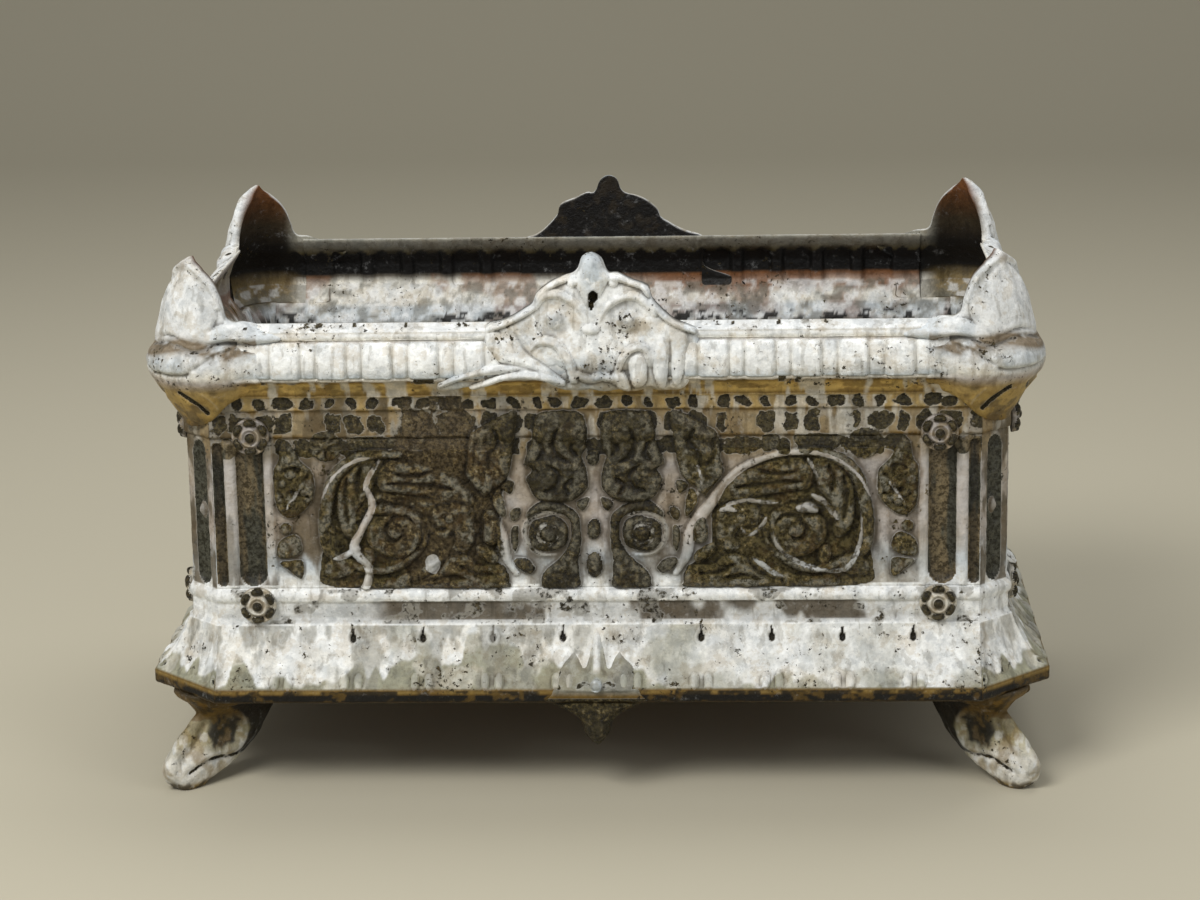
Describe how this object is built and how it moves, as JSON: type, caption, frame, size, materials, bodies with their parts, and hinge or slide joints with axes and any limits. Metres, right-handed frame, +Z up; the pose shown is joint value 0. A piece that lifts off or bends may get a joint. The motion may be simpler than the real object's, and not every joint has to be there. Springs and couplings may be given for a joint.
{
  "type": "footed planter trough",
  "caption": "Rectangular footed garden planter trough of bolted cast walls, with a gadrooned rim, leaf corners, centre crests, scroll relief panels and scrolled corner feet.",
  "frame": {"origin": "on the ground under the middle of the trough", "axes": "+X to the right along the front, +Y from front to back, +Z up"},
  "size_m": [0.685, 0.437, 0.411],
  "materials": {
    "painted_casting": "old off-white and olive paint, chipped and stained",
    "foot_casting": "weathered beige paint",
    "dark_casting": "dark olive paint, worn",
    "rusty_steel": "rusted",
    "rusty_plate": "rusted sheet"
  },
  "bodies": {
    "root": {"front_wall": "painted_casting", "back_wall": "painted_casting", "left_wall": "painted_casting", "right_wall": "painted_casting", "front_left_corner": "painted_casting", "front_right_corner": "painted_casting", "back_left_corner": "painted_casting", "back_right_corner": "painted_casting", "front_left_foot": "foot_casting", "front_right_foot": "foot_casting", "back_left_foot": "foot_casting", "back_right_foot": "foot_casting", "front_crest": "painted_casting", "back_crest": "painted_casting", "front_pendant": "dark_casting", "back_pendant": "dark_casting", "front_rosettes": "dark_casting", "back_rosettes": "dark_casting", "left_rosettes": "dark_casting", "right_rosettes": "dark_casting", "rosette_nuts": "rusty_steel", "foot_bolts": "rusty_steel", "crest_screws": "rusty_steel", "pendant_screws": "rusty_steel", "bottom_plate": "rusty_plate"}
  },
  "joints": []
}
